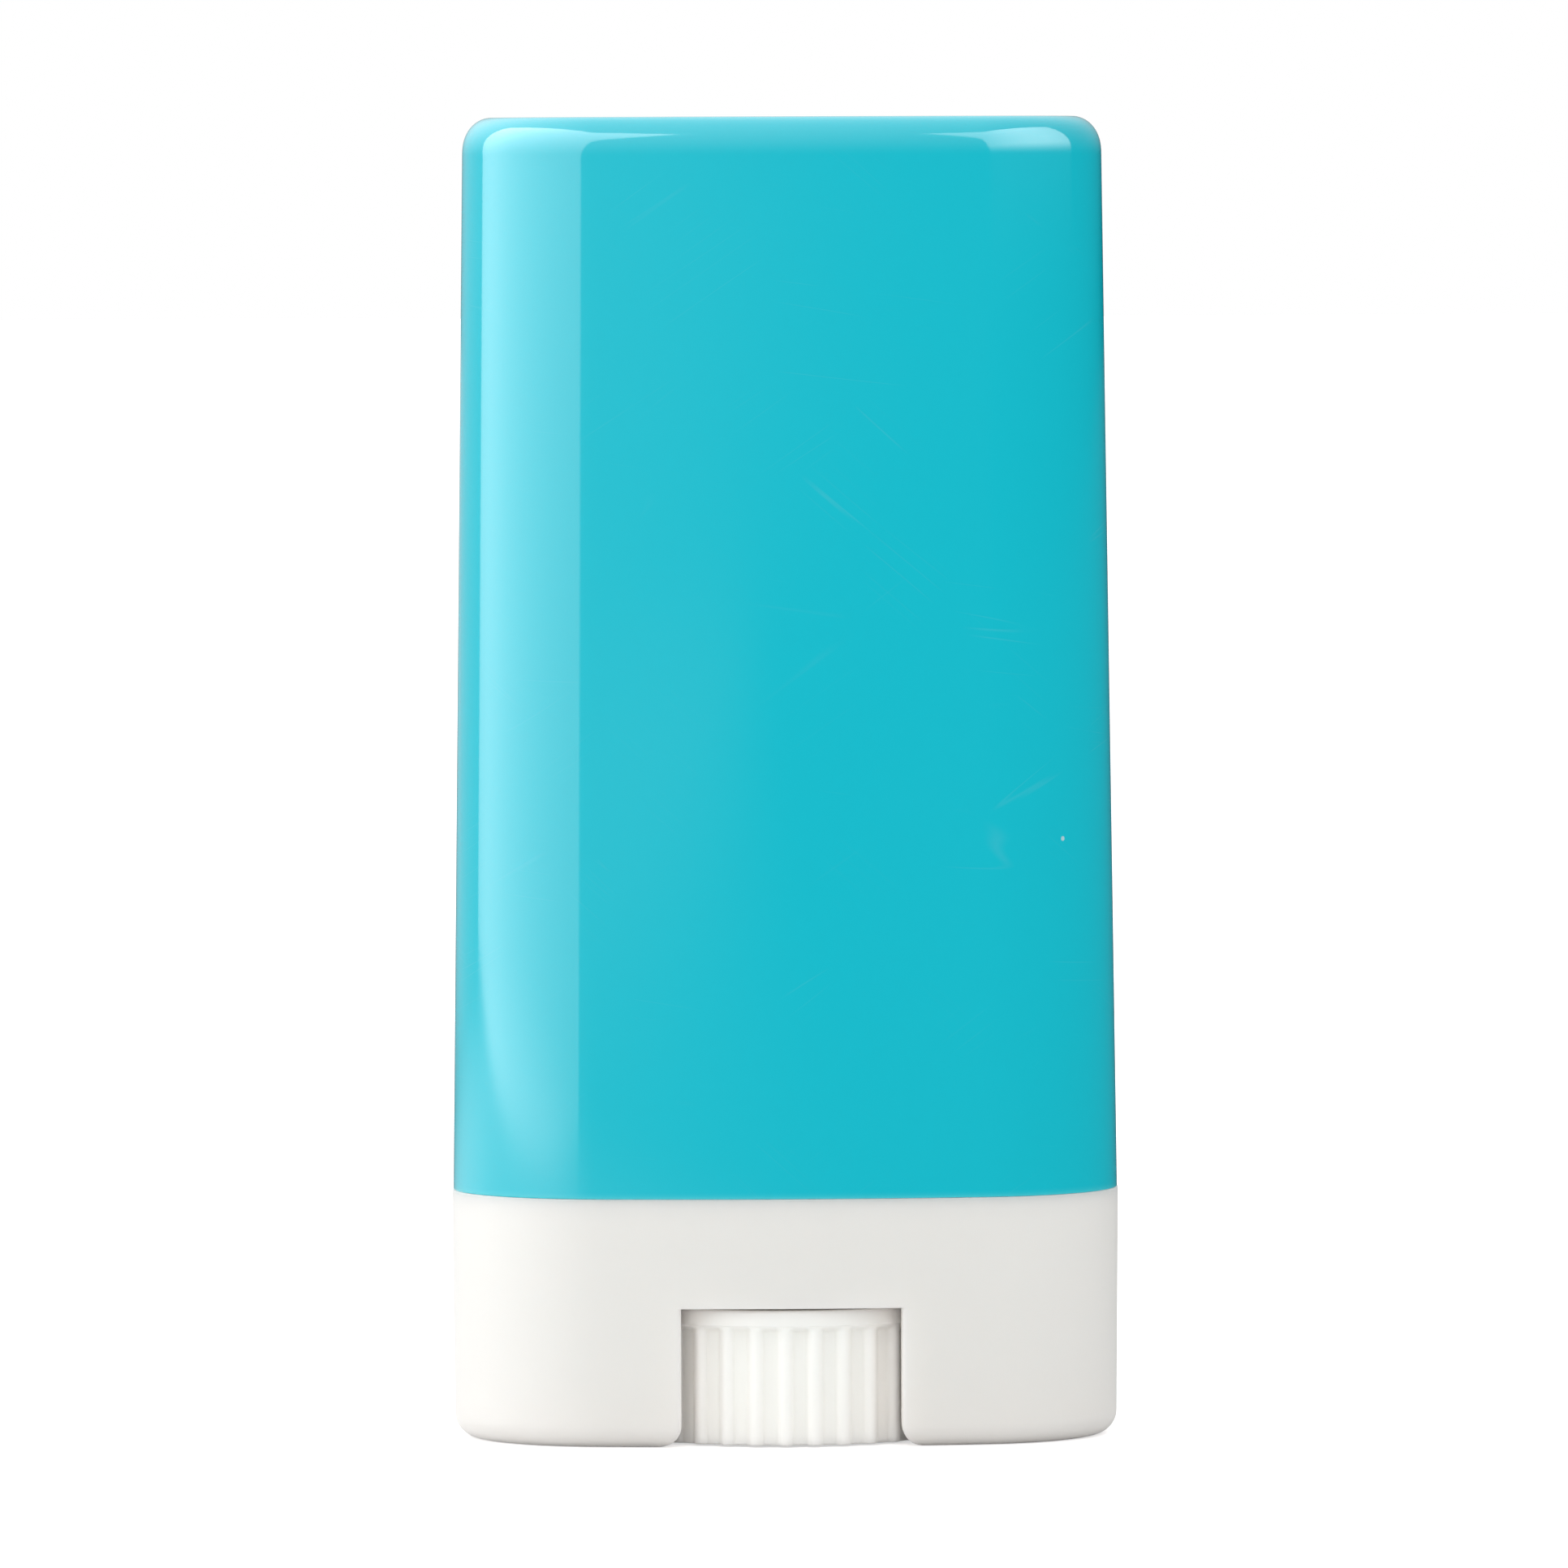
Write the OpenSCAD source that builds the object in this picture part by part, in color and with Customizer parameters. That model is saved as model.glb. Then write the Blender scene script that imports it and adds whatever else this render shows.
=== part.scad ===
// Twist-up sunscreen stick: an oval cap over a barrel, and a thumb dial whose screw
// winds a carrier and the sunscreen bar up and down inside it.
// Millimetres. +Z is up, the front faces -Y, and the origin is at the centre of the foot.

/* [Outline] */
// Width from end to end, where the base meets the cap
body_w = 35.3; // [32:0.1:40]
// Thickness from front to back, at the same height
body_d = 18.3; // [17.6:0.1:21]
// How far the middle of each broad face bows out past the radius of the ends
face_crown = 0.65; // [0.3:0.05:1.2]
// Height of the closed stick
total_h = 69.8; // [64:0.1:90]

/* [Base] */
// Height of the base that shows below the cap
base_h = 13.1; // [11.5:0.1:16]
// How much each side of the base draws in at its foot
base_draw = 0.11; // [0:0.01:0.3]
// Thickness of the base's wall at its foot
base_wall = 1.7; // [1.5:0.1:2.2]
// Radius of the base's bottom edge
foot_round = 1.2; // [0.4:0.1:1.3]
// Width of the front and back windows that bare the dial
window_w = 11.6; // [9:0.1:13]
// Height of the windows, from the foot to the underside of the deck
window_h = 7.35; // [6:0.05:9]
// Radius of the windows' bottom corners
window_round = 1.2; // [0.3:0.1:2]
// Thickness of the deck that carries the dial
deck_t = 1.2; // [0.8:0.1:1.6]
// Bevel of the thin edges of the base, neck and cap
edge_bevel = 0.15; // [0.05:0.05:0.25]

/* [Neck] */
// Height of the neck above the base
neck_h = 42; // [36:0.5:46]
// Thickness of the neck's wall at the base
neck_wall = 1.25; // [1:0.05:1.6]
// Gap between the neck and the cap
cap_gap = 0.2; // [0.15:0.05:0.4]
// Height of the snap bead above the base
bead_up = 2.6; // [2:0.1:5]
// How far the snap bead stands out of the neck
bead_out = 0.13; // [0.05:0.01:0.13]
// Length of the snap bead along the neck
bead_len = 1.2; // [0.8:0.1:2]

/* [Cap] */
// Thickness of the cap's wall
cap_wall = 1.1; // [0.9:0.05:1.5]
// Thickness of the cap's roof
cap_roof = 1.3; // [1:0.1:2]
// How much each side of the cap draws in at the top
cap_draw = 0.72; // [0.3:0.02:0.9]
// Radius of the cap's top edge
cap_round = 1.65; // [1:0.05:3]
// How far the cap's rim lies inside the base's outline
rim_inset = 0.05; // [0:0.05:0.3]
// Joint line between the cap's rim and the base
rim_gap = 0.1; // [0.05:0.05:0.3]

/* [Dial] */
// How far the dial's collar lies inside the bowed middle of the base's faces
dial_set = 0.35; // [0.25:0.05:0.8]
// Gap between the dial and the deck
dial_gap = 0.25; // [0.2:0.05:0.5]
// Height of the dial's underside above the foot
dial_lift = 0.1; // [0.05:0.05:0.5]
// Height of the plain collar above the dial's grip ribs
collar_h = 0.85; // [0.5:0.05:1.5]
// How far the crests of the grip ribs lie inside the collar
rib_set = 0.05; // [0.03:0.01:0.2]
// Number of grip ribs
rib_count = 34; // [24:1:40]
// Width of a grip rib at its root
rib_w = 0.86; // [0.7:0.01:1]
// Height of a grip rib
rib_h = 0.26; // [0.2:0.01:0.4]
// Thickness of the dial's rim, inside the grip ribs
dial_wall = 1.2; // [0.9:0.1:1.6]
// Thickness of the web across the top of the dial
web_t = 1.2; // [0.9:0.1:1.6]
// Number of spokes under the web
spoke_count = 6; // [3:1:8]
// Thickness of a spoke
spoke_t = 0.9; // [0.7:0.1:1.2]
// How far the spokes stop short of the dial's underside
spoke_set = 1.2; // [0.5:0.1:2]

/* [Screw] */
// Radius of the journal that turns in the deck
journal_r = 3; // [2.95:0.05:3.5]
// Running play of the journal in the deck's bore
journal_play = 0.06; // [0.03:0.01:0.1]
// Radius of the thrust collar that bears on the underside of the deck
thrust_r = 4.2; // [3.8:0.1:5]
// Play of the dial along its axis, above and below the deck
end_play = 0.1; // [0.05:0.05:0.15]
// Radius of the snap flange that holds the dial in the deck
flange_r = 3.5; // [3.4:0.1:4]
// Height of the snap flange
flange_h = 0.85; // [0.6:0.05:1]
// Radius over the crest of the screw thread
thread_r = 2.9; // [2.6:0.05:2.9]
// Depth of the screw thread
thread_depth = 0.75; // [0.5:0.05:0.9]
// Pitch of the screw thread, which has one start
thread_pitch = 3; // [2.5:0.25:4]
// Radius of the core hole up the dial's hub
core_hole_r = 1.3; // [1:0.1:1.6]

/* [Carrier] */
// Gap between the carrier and the barrel
carrier_play = 0.15; // [0.1:0.05:0.3]
// Gap between the lowered carrier and what is under it
carrier_rest = 0.3; // [0.2:0.05:0.5]
// Height of the carrier's wiping skirt
skirt_h = 3.4; // [3:0.1:5]
// Thickness of the carrier's wiping skirt
skirt_t = 0.8; // [0.6:0.05:1.1]
// Height of the skirt's lip above the plate
lip_h = 1; // [0.5:0.1:1.3]
// Thickness of the carrier's plate
plate_t = 1.1; // [0.8:0.1:1.5]
// Radius of the carrier's nut
nut_r = 4.5; // [4.2:0.1:5]
// Height of the nut
nut_h = 6.6; // [5:0.1:8]
// Gap between the nut's thread and the screw's
thread_play = 0.22; // [0.18:0.01:0.25]
// Distance from the axis to each anchor fin
fin_x = 9.3; // [8:0.1:10]
// Width of an anchor fin
fin_w = 5; // [4:0.1:6]
// Height of an anchor fin above the plate
fin_h = 6.5; // [5:0.1:8]
// Thickness of an anchor fin
fin_t = 1; // [0.8:0.1:1.4]
// Radius of the hole through an anchor fin
fin_hole_r = 1.3; // [1:0.1:1.6]

/* [Bar] */
// Gap between the bar and the barrel
bar_play = 0.25; // [0.2:0.05:0.4]
// Gap between the bar's core hole and the screw
core_play = 0.25; // [0.2:0.05:0.4]
// Height of the bar's crown above the neck's mouth
crown_h = 5; // [4:0.1:7]
// How far the crown falls from its middle to the middle of a broad face
crown_fall_y = 4; // [2:0.1:5]
// How far the crown falls from its middle to an end
crown_fall_x = 4.4; // [3:0.1:6]
// How far the screw's tip stops short of the top of the crown
tip_cover = 6.5; // [5.5:0.1:10]

/* [Hidden] */
$fn = 64;
cut = 1;            // how far a cutter runs past the face it cuts
sink = 0.3;         // how far one feature of a solid runs into the next
end_steps = 18;     // straight steps round each end of the outline
face_steps = 6;     // straight steps along each broad face
round_steps = 7;    // straight steps round an edge
thread_points = 12; // points round the thread's section
thread_slices = 12; // slices in one turn of the thread

// The outline has four arcs: two ends and two broad faces, which meet without a corner.
end_r = body_d / 2 - face_crown;
end_x = body_w / 2 - end_r;
face_r = (pow(end_x, 2) + pow(body_d / 2, 2) - pow(end_r, 2)) / (2 * face_crown);
face_y = face_r - body_d / 2;
join_a = atan(end_x / face_y);

// The dial fills the windows almost flush with the base's faces.
dial_r = body_d / 2 - dial_set;

// Heights above the foot
dial_top = window_h - dial_gap;
deck_top = window_h + deck_t;
flange_z = deck_top + end_play;
flange_top = flange_z + flange_h;
mouth_z = base_h + neck_h;
bead_z = base_h + bead_up;
rim_z = base_h + rim_gap;
roof_z = total_h - cap_roof;
carrier_z = deck_top + carrier_rest;
plate_top = carrier_z + skirt_h - lip_h;
plate_z = plate_top - plate_t;
nut_z = flange_top + carrier_rest;
nut_top = nut_z + nut_h;
crown_z = mouth_z + crown_h;
tip_z = crown_z - tip_cover;

// Insets, each measured inwards from the outline
base_slope = atan(base_draw / base_h);
cap_slope = atan(cap_draw / (total_h - base_h));
pocket_inset = base_draw + base_wall;
foot_r = min(foot_round, base_wall - 2 * edge_bevel);
neck_inset = rim_inset + cap_wall + cap_gap;
bore_inset = neck_inset + neck_wall;
skirt_inset = bore_inset + carrier_play;
bar_inset = bore_inset + bar_play;

function base_side(z) = (base_h - z) * tan(base_slope);
function cap_side(z) = rim_inset + (z - base_h) * tan(cap_slope);
function cap_bore(z) = cap_side(z) + cap_wall;
function neck_side(z) = cap_bore(z) + cap_gap;

// Points on an arc about c, with the last one left to whatever comes next
function arc(c, r, from, to, steps) =
    [for (k = [0:steps - 1]) let (a = from + (to - from) * k / steps) c + r * [cos(a), sin(a)]];

// The outline, anticlockwise, drawn in by an inset
function outline(inset) = concat(
    arc([end_x, 0], end_r - inset, join_a - 90, 90 - join_a, end_steps),
    arc([0, -face_y], face_r - inset, 90 - join_a, 90 + join_a, face_steps),
    arc([-end_x, 0], end_r - inset, 90 + join_a, 270 - join_a, end_steps),
    arc([0, face_y], face_r - inset, 270 - join_a, 270 + join_a, face_steps));

// Rings [inset, z] round an edge whose centre is at [inset, z]; angle 0 points out of the side
function edge(inset, z, r, from, to) =
    [for (k = [0:round_steps]) let (a = from + (to - from) * k / round_steps)
        [inset - r * cos(a), z + r * sin(a)]];

// A solid through rings [inset, z], closed flat at the first ring and at the last.
// A path that goes down and comes up again outside itself makes a cup.
module loft(rings) {
    n = len(outline(0));
    last = len(rings) - 1;
    polyhedron(
        points = [for (ring = rings) for (p = outline(ring[0])) [p[0], p[1], ring[1]]],
        faces = concat(
            [[for (i = [0:n - 1]) i]],
            [for (k = [0:last - 1], i = [0:n - 1]) let (j = (i + 1) % n)
                [k * n + i, (k + 1) * n + i, (k + 1) * n + j, k * n + j]],
            [[for (i = [n - 1:-1:0]) last * n + i]]));
}

// A half-round swelling of a side at height z, as rings from its bottom to its top
function swelling(side, z, out, len, play) =
    [for (k = [0:4]) let (a = 180 * k / 4, h = z - (len / 2 + play) * cos(a))
        [side + (h - z) * tan(cap_slope) - out * sin(a), h]];

function reversed(list) = [for (k = [len(list) - 1:-1:0]) list[k]];

// Cap: one thin moulded shell, drawn in towards the top so that it leaves its mould
module cap() {
    top_z = total_h - cap_round;
    top_inset = cap_side(top_z + cap_round * sin(cap_slope)) + cap_round * cos(cap_slope);
    inner_r = max(cap_round - cap_wall, 2 * edge_bevel);
    inner_z = roof_z - inner_r;
    inner_inset = cap_bore(inner_z + inner_r * sin(cap_slope)) + inner_r * cos(cap_slope);
    color([0.09, 0.73, 0.81])
        loft(concat(
            edge(inner_inset, inner_z, inner_r, 90, cap_slope),
            reversed(swelling(cap_bore(bead_z), bead_z, bead_out, bead_len, rim_gap)),
            [[cap_bore(rim_z + edge_bevel), rim_z + edge_bevel],
             [cap_bore(rim_z) - edge_bevel, rim_z],
             [cap_side(rim_z) + edge_bevel, rim_z],
             [cap_side(rim_z + edge_bevel), rim_z + edge_bevel]],
            edge(top_inset, top_z, cap_round, cap_slope, 90)));
}

// The front view of a window: straight sides that flare at the foot round the corner radius
module window_2d() {
    translate([-window_w / 2, -cut])
        square([window_w, window_h + cut]);
    for (s = [-1, 1])
        difference() {
            translate([s * (window_w / 2 + (window_round - sink) / 2), (window_round - cut) / 2])
                square([window_round + sink, window_round + cut], center = true);
            translate([s * (window_w / 2 + window_round), window_round])
                circle(window_round);
        }
}

// Barrel: base, deck and neck in one moulding
module barrel() {
    foot_inset = base_side(foot_r * (1 - sin(base_slope))) + foot_r * cos(base_slope);
    color([0.95, 0.94, 0.92])
        difference() {
            loft(concat(
                [[pocket_inset, window_h],
                 [pocket_inset, edge_bevel],
                 [pocket_inset - edge_bevel, 0]],
                edge(foot_inset, foot_r, foot_r, -90, -base_slope),
                [[base_side(base_h - edge_bevel), base_h - edge_bevel],
                 [edge_bevel, base_h],
                 [neck_side(base_h), base_h]],
                swelling(neck_side(bead_z), bead_z, bead_out, bead_len, 0),
                [[neck_side(mouth_z - edge_bevel), mouth_z - edge_bevel],
                 [neck_side(mouth_z) + edge_bevel, mouth_z],
                 [bore_inset - edge_bevel, mouth_z],
                 [bore_inset, mouth_z - edge_bevel],
                 [bore_inset, deck_top]]));
            rotate([90, 0, 0])
                linear_extrude(body_d + 2 * cut, center = true)
                    window_2d();
            translate([0, 0, window_h - cut])
                cylinder(h = deck_t + 2 * cut, r = journal_r + journal_play);
        }
}

// The plan of the dial's grip: a round rim with half-round ribs
module grip_2d() {
    crest_r = dial_r - rib_set;
    bar_r = (pow(rib_w / 2, 2) + pow(rib_h, 2)) / (2 * rib_h);
    circle(crest_r - rib_h);
    for (k = [0:rib_count - 1])
        rotate(360 * (k + 0.3) / rib_count)
            translate([crest_r - bar_r, 0])
                circle(bar_r, $fn = 24);
}

// The section of the screw thread, widened by a play; turned as it rises, it makes one start
module thread_2d(play) {
    polygon([for (k = [0:thread_points - 1])
        let (a = 360 * k / thread_points,
             r = thread_r - thread_depth * (1 - pow((1 + cos(a)) / 2, 1.5)) + play)
        r * [cos(a), sin(a)]]);
}

// A thread from one height to another, in step with every other one in the model. It is left-hand,
// so a thumb that pushes the front of the dial to the right winds the bar up.
module thread(from, to, play) {
    turns = (to - from) / thread_pitch;
    translate([0, 0, from])
        rotate(-360 * (from - flange_z) / thread_pitch)
            linear_extrude(to - from, twist = 360 * turns, slices = ceil(turns * thread_slices),
                $fn = thread_points)
                thread_2d(play);
}

// Dial and screw: one moulding, a ribbed cup with spokes and a hub that runs up into the screw
module dial_screw() {
    rim_r = dial_r - rib_set - rib_h;
    hub_r = journal_r + spoke_t;
    color([0.93, 0.92, 0.9]) {
        difference() {
            union() {
                translate([0, 0, dial_lift])
                    linear_extrude(dial_top - collar_h / 2 - dial_lift)
                        grip_2d();
                rotate_extrude()
                    polygon([
                        [0, dial_top - collar_h],
                        [dial_r, dial_top - collar_h],
                        [dial_r, dial_top - edge_bevel],
                        [dial_r - edge_bevel, dial_top],
                        [0, dial_top]]);
            }
            difference() {
                translate([0, 0, dial_lift - cut])
                    cylinder(h = dial_top - web_t - dial_lift + cut, r = rim_r - dial_wall);
                cylinder(h = dial_top, r = hub_r);
                for (k = [0:spoke_count - 1])
                    rotate(360 * k / spoke_count)
                        translate([0, -spoke_t / 2, dial_lift + spoke_set])
                            cube([rim_r, spoke_t, dial_top]);
            }
            translate([0, 0, dial_lift - cut])
                cylinder(h = dial_top - web_t - dial_lift + cut, r = core_hole_r);
        }
        translate([0, 0, dial_top - sink])
            cylinder(h = dial_gap - end_play + sink, r = thrust_r);
        translate([0, 0, dial_top - sink])
            cylinder(h = flange_z + sink - dial_top + sink, r = journal_r);
        translate([0, 0, flange_z])
            cylinder(h = flange_h, r1 = flange_r, r2 = thread_r - thread_depth / 2);
        thread(flange_z, tip_z, 0);
    }
}

// The carrier's fins, which the bar is cast around
module anchor_fins() {
    for (s = [-1, 1])
        difference() {
            translate([s * fin_x - fin_w / 2, -fin_t / 2, plate_top - sink])
                cube([fin_w, fin_t, fin_h + sink]);
            translate([s * fin_x, fin_t / 2 + cut, plate_top + fin_h / 2])
                rotate([90, 0, 0])
                    cylinder(h = fin_t + 2 * cut, r = fin_hole_r);
        }
}

// The carrier without its nut and fins: a plate inside a wiping skirt
module carrier_tray() {
    inner = skirt_inset + skirt_t;
    loft([
        [inner, plate_z],
        [inner, carrier_z],
        [skirt_inset + edge_bevel, carrier_z],
        [skirt_inset, carrier_z + edge_bevel],
        [skirt_inset, carrier_z + skirt_h - edge_bevel],
        [skirt_inset + edge_bevel, carrier_z + skirt_h],
        [inner, carrier_z + skirt_h],
        [inner, plate_top]]);
}

// Carrier: tray, threaded nut and anchor fins in one moulding
module carrier() {
    color([0.9, 0.9, 0.88]) {
        difference() {
            union() {
                carrier_tray();
                translate([0, 0, nut_z])
                    cylinder(h = nut_h, r = nut_r);
            }
            thread(nut_z - cut, nut_top + cut, thread_play);
        }
        anchor_fins();
    }
}

// The crown's top: an arc across the stick, carried along an arc from end to end
module crown() {
    half_x = body_w / 2 - bar_inset;
    half_y = body_d / 2 - bar_inset;
    arc_x = (pow(half_x, 2) + pow(crown_fall_x, 2)) / (2 * crown_fall_x);
    arc_y = (pow(half_y, 2) + pow(crown_fall_y, 2)) / (2 * crown_fall_y);
    translate([0, 0, crown_z - arc_x])
        rotate([90, 0, 0])
            rotate_extrude()
                intersection() {
                    translate([arc_x - arc_y, 0])
                        circle(arc_y);
                    translate([0, -half_y - cut])
                        square([arc_x + cut, 2 * (half_y + cut)]);
                }
}

// Sunscreen bar: cast round the carrier's fins and the screw, with a crowned top
module sunscreen_bar() {
    color([0.97, 0.94, 0.86])
        difference() {
            union() {
                loft([[bar_inset, plate_top], [bar_inset, mouth_z - bar_play]]);
                intersection() {
                    loft([[bar_inset, mouth_z - bar_play - sink], [bar_inset, crown_z + cut]]);
                    crown();
                }
            }
            carrier_tray();
            anchor_fins();
            translate([0, 0, plate_top - cut])
                cylinder(h = nut_top - plate_top + cut, r = nut_r);
            translate([0, 0, plate_top])
                cylinder(h = tip_z + core_play - plate_top, r = thread_r + core_play);
        }
}

cap();
barrel();
dial_screw();
carrier();
sunscreen_bar();
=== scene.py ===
import math

import bmesh
import bpy
import numpy as np
from mathutils import Matrix, Vector


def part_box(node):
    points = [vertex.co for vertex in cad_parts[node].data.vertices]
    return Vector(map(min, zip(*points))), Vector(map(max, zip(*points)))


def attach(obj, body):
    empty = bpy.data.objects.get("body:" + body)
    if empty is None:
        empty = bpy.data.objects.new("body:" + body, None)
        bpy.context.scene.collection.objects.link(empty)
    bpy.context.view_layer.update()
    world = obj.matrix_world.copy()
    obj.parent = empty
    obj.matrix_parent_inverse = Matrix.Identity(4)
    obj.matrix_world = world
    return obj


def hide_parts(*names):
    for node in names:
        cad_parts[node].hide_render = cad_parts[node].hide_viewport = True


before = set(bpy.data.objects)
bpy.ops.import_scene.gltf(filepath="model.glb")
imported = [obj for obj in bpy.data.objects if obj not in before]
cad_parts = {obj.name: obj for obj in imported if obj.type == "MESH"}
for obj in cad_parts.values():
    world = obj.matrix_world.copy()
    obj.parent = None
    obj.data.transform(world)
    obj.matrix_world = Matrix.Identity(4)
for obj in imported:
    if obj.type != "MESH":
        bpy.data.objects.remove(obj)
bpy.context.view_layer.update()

# Barrel: one injection moulding in white polypropylene with a satin skin. Its base shows below
# the cap, a window at the front foot and another at the back bare the dial, and its thin neck
# stands up inside the cap with a snap bead round it.
MM = 0.001
BODY_HALF_W = 17.65 * MM
BODY_HALF_D = 9.15 * MM
BASE_H = 13.1 * MM
BASE_DRAW = 0.11 * MM
BASE_WALL = 1.7 * MM
FOOT_ROUND = 1.2 * MM
WINDOW_HALF_W = 5.8 * MM
WINDOW_H = 7.35 * MM
WINDOW_ROUND = 1.2 * MM
DECK_T = 1.2 * MM
DECK_BORE_R = 3.06 * MM
EDGE_SOFT = 0.2 * MM
EDGE_BEVEL = 0.15 * MM
JOINT_EDGE = 0.04 * MM
NECK_INSET = 1.35 * MM
NECK_WALL = 1.25 * MM
CAP_DRAW = 0.72 * MM
BEAD_UP = 2.6 * MM
BEAD_OUT = 0.13 * MM
BEAD_HALF = 0.6 * MM
FACE_CROWN = 0.65 * MM

mouth_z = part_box("barrel")[1][2]
top_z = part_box("cap")[1][2]
end_r = BODY_HALF_D - FACE_CROWN
end_x = BODY_HALF_W - end_r
face_r = (end_x**2 + BODY_HALF_D**2 - end_r**2) / (2 * FACE_CROWN)
face_y = face_r - BODY_HALF_D
join = math.atan(end_x / face_y)
cap_slope = CAP_DRAW / (top_z - BASE_H)
pocket_inset = BASE_DRAW + BASE_WALL


def wall_point(turn, inset, z):
    """A point of the four-arc outline's front right quarter, drawn in by an inset. turn is how
    far the wall faces away from the front, from 0 to a quarter turn. The point is the centre of
    its arc plus (the arc's radius less the inset) times the direction that the wall faces."""
    on_face = turn < join
    r = np.where(on_face, face_r, end_r) - inset
    x = np.where(on_face, 0, end_x) + r * np.sin(turn)
    y = np.where(on_face, face_y, 0) - r * np.cos(turn)
    return np.stack(np.broadcast_arrays(x, y, z), -1)


def face_turn(x, inset):
    """How far the bowed front face turns away from the front at a distance x from its middle."""
    return np.arcsin(x / (face_r - inset))


def turns_between(start, steps_face=16, steps_end=32):
    """Columns of a wall, from a first turn on the front face to the middle of the end. Each row
    may start elsewhere: the face's columns are spread evenly between its start and the joint."""
    start = np.asarray(start)[..., None]
    share = np.linspace(0, 1, steps_face, endpoint=False)
    on_face = start + (join - start) * share
    on_end = np.linspace(join, math.pi / 2, steps_end)
    on_end = np.broadcast_to(on_end, (*on_face.shape[:-1], steps_end))
    return np.concatenate([on_face, on_end], -1)


def grid_faces(rows, columns, first=0):
    """Quads of a grid of points that are numbered row by row from first."""
    k = np.arange(rows * columns).reshape(rows, columns) + first
    return np.stack([k[:-1, :-1], k[:-1, 1:], k[1:, 1:], k[1:, :-1]], -1).reshape(-1, 4)


def make_piece(name, grids, mirrors=((1, 1),), crease=35):
    """One mesh from grids of points, each repeated with its x and y times the mirror signs. Seams
    are closed, normals are made to point outwards, and only edges sharper than crease stay hard."""
    points, faces, count = [], [], 0
    for grid in grids:
        rows, columns = grid.shape[:2]
        for sx, sy in mirrors:
            points.append(grid.reshape(-1, 3) * (sx, sy, 1))
            faces.append(grid_faces(rows, columns, count))
            count += rows * columns
    mesh = bpy.data.meshes.new(name)
    mesh.from_pydata(np.concatenate(points).tolist(), [], np.concatenate(faces).tolist())
    piece = bpy.data.objects.new(name, mesh)
    bpy.context.collection.objects.link(piece)
    finish_mesh(piece, crease)
    return piece


def finish_mesh(piece, crease):
    """Merges doubled points, turns the faces outwards and shades all but the sharp edges smooth."""
    work = bmesh.new()
    work.from_mesh(piece.data)
    bmesh.ops.remove_doubles(work, verts=work.verts, dist=1e-7)
    bmesh.ops.dissolve_degenerate(work, edges=work.edges, dist=1e-8)
    bmesh.ops.recalc_face_normals(work, faces=work.faces)
    work.to_mesh(piece.data)
    work.free()
    piece.data.shade_smooth()
    piece.data.set_sharp_from_angle(angle=math.radians(crease))


def rounded_corner(inset, z, radius, start, end, steps=8):
    """Profile points on an arc about (inset, z), where an angle of 0 faces out of the wall."""
    a = np.radians(np.linspace(start, end, steps + 1))
    return np.stack([inset - radius * np.cos(a), z + radius * np.sin(a)], -1)


def swelling(side, z, out, half, steps=8):
    """Profile points of a half-round ring round a wall, whose inset is side at the height z."""
    a = np.linspace(0, math.pi, steps + 1)
    up = -half * np.cos(a)
    return np.stack([side + up * cap_slope - out * np.sin(a), z + up], -1)


def rounding(z, radius):
    """How far a quarter circle at the foot has left an upright line, at a height z."""
    return radius - np.sqrt(radius**2 - np.clip(radius - z, 0, None) ** 2)


def outward(points):
    """Directions of length 1 that point level from the axis towards each of a row of points."""
    bearing = np.arctan2(points[:, 0], -points[:, 1])
    return np.stack([np.sin(bearing), -np.cos(bearing), 0 * bearing], -1)


def spine_of(ring):
    """For each point of a ring, the nearest one on the line that joins the two ends' centres."""
    spine = ring * (1, 0, 1)
    spine[:, 0] = np.clip(spine[:, 0], 0, end_x)
    return spine


# The base's wall below the deck: rows run down its outside, under its foot and up its inside, and
# columns run from the window's edge, which flares at the foot, to the middle of the end.
foot_rows = 1 - np.sin(np.linspace(0, math.pi / 2, 12))
z_low = np.concatenate([[WINDOW_H, FOOT_ROUND * 1.5], FOOT_ROUND * foot_rows])
side_low = BASE_DRAW * (1 - z_low / BASE_H)
foot_in = rounding(z_low, FOOT_ROUND)
lip_in = rounding(z_low, EDGE_SOFT)
window_x = WINDOW_HALF_W + rounding(z_low, WINDOW_ROUND)
soft = np.radians(np.linspace(90, 0, 6, endpoint=False))


def wall_rows(inset, away):
    """Rows of one side of the base's wall. The columns next to the window follow a quarter circle
    that leaves the wall's side by away, and the rest lie on the side."""
    edge_x = window_x[:, None] + EDGE_SOFT * (1 - np.sin(soft))
    edge_inset = inset[:, None] + away * EDGE_SOFT * (1 - np.cos(soft))
    edge = wall_point(face_turn(edge_x, edge_inset), edge_inset, z_low[:, None])
    start = face_turn(window_x + EDGE_SOFT, inset)
    rest = wall_point(turns_between(start), inset[:, None], z_low[:, None])
    return np.concatenate([edge, rest], 1)


outside = wall_rows(side_low + foot_in, 1)
inside = wall_rows(pocket_inset - lip_in, -1)
wall_loop = np.concatenate([outside, inside[::-1]])
reveal = np.stack([outside[:, 0], inside[:, 0]], 1)

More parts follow.
